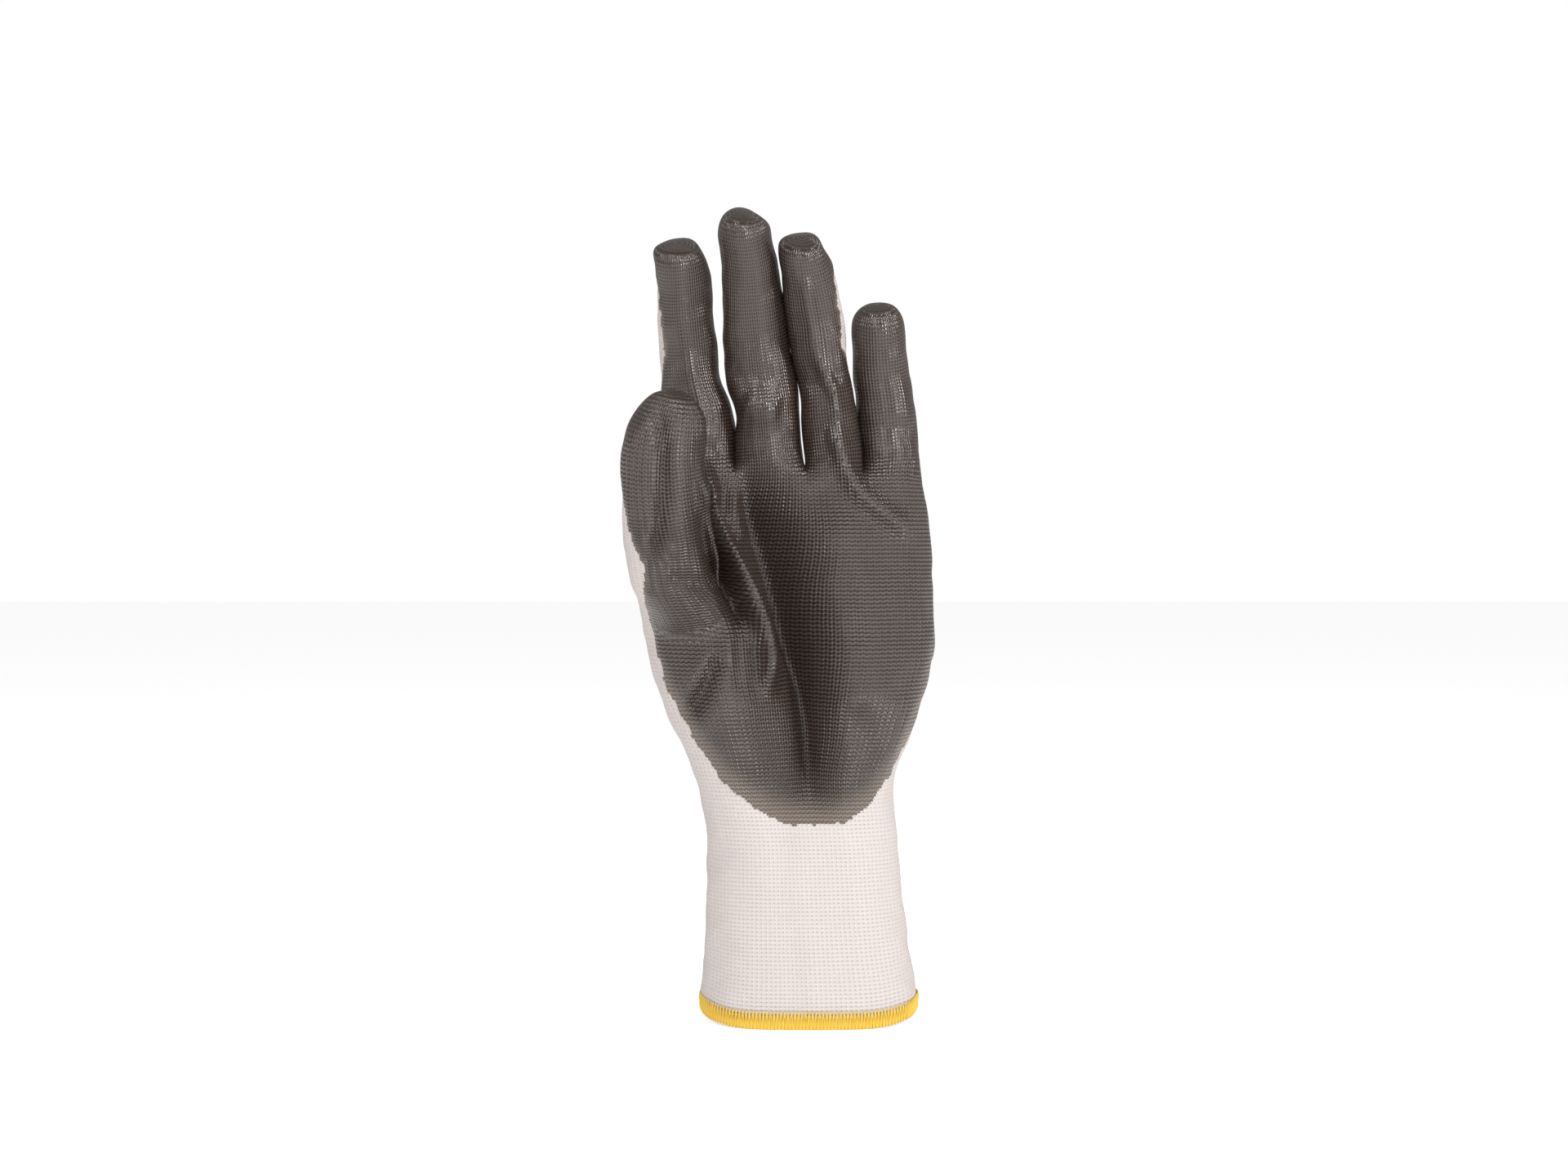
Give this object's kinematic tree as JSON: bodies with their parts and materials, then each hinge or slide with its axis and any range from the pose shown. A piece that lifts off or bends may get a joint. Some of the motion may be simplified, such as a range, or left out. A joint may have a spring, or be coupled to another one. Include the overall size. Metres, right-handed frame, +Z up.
{
  "type": "work glove",
  "caption": "Knitted work glove for the left hand, with a dipped rubber coating on the palm, thumb and fingers and an overlocked cuff hem.",
  "frame": {"origin": "centre of the cuff opening, in the plane of the hem's underside", "axes": "+Z up from the cuff to the fingertips, -Y the way the palm faces, -X the thumb side"},
  "size_m": [0.0921, 0.0681, 0.2422],
  "materials": {
    "knit": "fine white polyester knit",
    "coating": "satin dark grey nitrile over the knit",
    "hem": "yellow overlock thread",
    "elastic": "covered rubber thread"
  },
  "bodies": {
    "cuff": {"cuff_knit": "knit", "cuff_hem": "hem", "cuff_elastic": "elastic", "wrist_bend": "knit"},
    "palm": {"palm_knit": "knit", "palm_coating": "coating", "index_proximal_bend": "knit", "middle_proximal_bend": "knit", "ring_proximal_bend": "knit", "little_proximal_bend": "knit", "thumb_base_bend": "knit"},
    "index_proximal": {"index_proximal_knit": "knit", "index_proximal_coating": "coating", "index_middle_bend": "knit"},
    "index_middle": {"index_middle_knit": "knit", "index_middle_coating": "coating", "index_tip_bend": "knit"},
    "index_tip": {"index_tip_knit": "knit", "index_tip_coating": "coating"},
    "middle_proximal": {"middle_proximal_knit": "knit", "middle_proximal_coating": "coating", "middle_middle_bend": "knit"},
    "middle_middle": {"middle_middle_knit": "knit", "middle_middle_coating": "coating", "middle_tip_bend": "knit"},
    "middle_tip": {"middle_tip_knit": "knit", "middle_tip_coating": "coating"},
    "ring_proximal": {"ring_proximal_knit": "knit", "ring_proximal_coating": "coating", "ring_middle_bend": "knit"},
    "ring_middle": {"ring_middle_knit": "knit", "ring_middle_coating": "coating", "ring_tip_bend": "knit"},
    "ring_tip": {"ring_tip_knit": "knit", "ring_tip_coating": "coating"},
    "little_proximal": {"little_proximal_knit": "knit", "little_proximal_coating": "coating", "little_middle_bend": "knit"},
    "little_middle": {"little_middle_knit": "knit", "little_middle_coating": "coating", "little_tip_bend": "knit"},
    "little_tip": {"little_tip_knit": "knit", "little_tip_coating": "coating"},
    "thumb_base": {"thumb_base_knit": "knit", "thumb_base_coating": "coating", "thumb_tip_bend": "knit"},
    "thumb_tip": {"thumb_tip_knit": "knit", "thumb_tip_coating": "coating"}
  },
  "joints": [
    {"name": "wrist", "type": "hinge", "parent": "cuff", "child": "palm", "pos_m": [0, 0, 0.06], "axis": [1, 0, 0], "range_deg": [-25, 30], "deforming": ["wrist_bend"]},
    {"name": "index_proximal", "type": "hinge", "parent": "palm", "child": "index_proximal", "pos_m": [-0.03438, -0.00122, 0.17199], "axis": [0.9993, 0, 0.0384], "range_deg": [-12, 45], "deforming": ["index_proximal_bend"]},
    {"name": "index_middle", "type": "hinge", "parent": "index_proximal", "child": "index_middle", "pos_m": [-0.03529, -0.00324, 0.1957], "axis": [0.9993, 0, 0.0384], "range_deg": [-5, 70], "deforming": ["index_middle_bend"]},
    {"name": "index_tip", "type": "hinge", "parent": "index_middle", "child": "index_tip", "pos_m": [-0.03603, -0.00905, 0.21487], "axis": [0.9993, 0, 0.0384], "range_deg": [-5, 40], "deforming": ["index_tip_bend"]},
    {"name": "middle_proximal", "type": "hinge", "parent": "palm", "child": "middle_proximal", "pos_m": [-0.01205, -0.00328, 0.17195], "axis": [0.9945, 0, 0.1045], "range_deg": [-12, 58], "deforming": ["middle_proximal_bend"]},
    {"name": "middle_middle", "type": "hinge", "parent": "middle_proximal", "child": "middle_middle", "pos_m": [-0.01493, -0.00615, 0.19941], "axis": [0.9945, 0, 0.1045], "range_deg": [-5, 78], "deforming": ["middle_middle_bend"]},
    {"name": "middle_tip", "type": "hinge", "parent": "middle_middle", "child": "middle_tip", "pos_m": [-0.01716, -0.01342, 0.22058], "axis": [0.9945, 0, 0.1045], "range_deg": [-5, 45], "deforming": ["middle_tip_bend"]},
    {"name": "ring_proximal", "type": "hinge", "parent": "palm", "child": "ring_proximal", "pos_m": [0.00605, -0.00377, 0.17193], "axis": [0.9934, 0, 0.1149], "range_deg": [-12, 58], "deforming": ["ring_proximal_bend"]},
    {"name": "ring_middle", "type": "hinge", "parent": "ring_proximal", "child": "ring_middle", "pos_m": [0.00322, -0.00631, 0.19641], "axis": [0.9934, 0, 0.1149], "range_deg": [-5, 78], "deforming": ["ring_middle_bend"]},
    {"name": "ring_tip", "type": "hinge", "parent": "ring_middle", "child": "ring_tip", "pos_m": [0.00104, -0.01278, 0.21524], "axis": [0.9934, 0, 0.1149], "range_deg": [-5, 45], "deforming": ["ring_tip_bend"]},
    {"name": "little_proximal", "type": "hinge", "parent": "palm", "child": "little_proximal", "pos_m": [0.0238, -0.00027, 0.17197], "axis": [0.9968, 0, 0.0802], "range_deg": [-12, 58], "deforming": ["little_proximal_bend"]},
    {"name": "little_middle", "type": "hinge", "parent": "little_proximal", "child": "little_middle", "pos_m": [0.02257, -0.0013, 0.18724], "axis": [0.9968, 0, 0.0802], "range_deg": [-5, 78], "deforming": ["little_middle_bend"]},
    {"name": "little_tip", "type": "hinge", "parent": "little_middle", "child": "little_tip", "pos_m": [0.02166, -0.00408, 0.19852], "axis": [0.9968, 0, 0.0802], "range_deg": [-5, 45], "deforming": ["little_tip_bend"]},
    {"name": "thumb_base", "type": "hinge", "parent": "palm", "child": "thumb_base", "pos_m": [-0.03986, -0.02564, 0.13647], "axis": [0.9741, 0, 0.2259], "range_deg": [-6, 50], "deforming": ["thumb_base_bend"]},
    {"name": "thumb_tip", "type": "hinge", "parent": "thumb_base", "child": "thumb_tip", "pos_m": [-0.04284, -0.03289, 0.1569], "axis": [-0.0199, 0.9663, 0.2567], "range_deg": [-8, 60], "deforming": ["thumb_tip_bend"]}
  ]
}
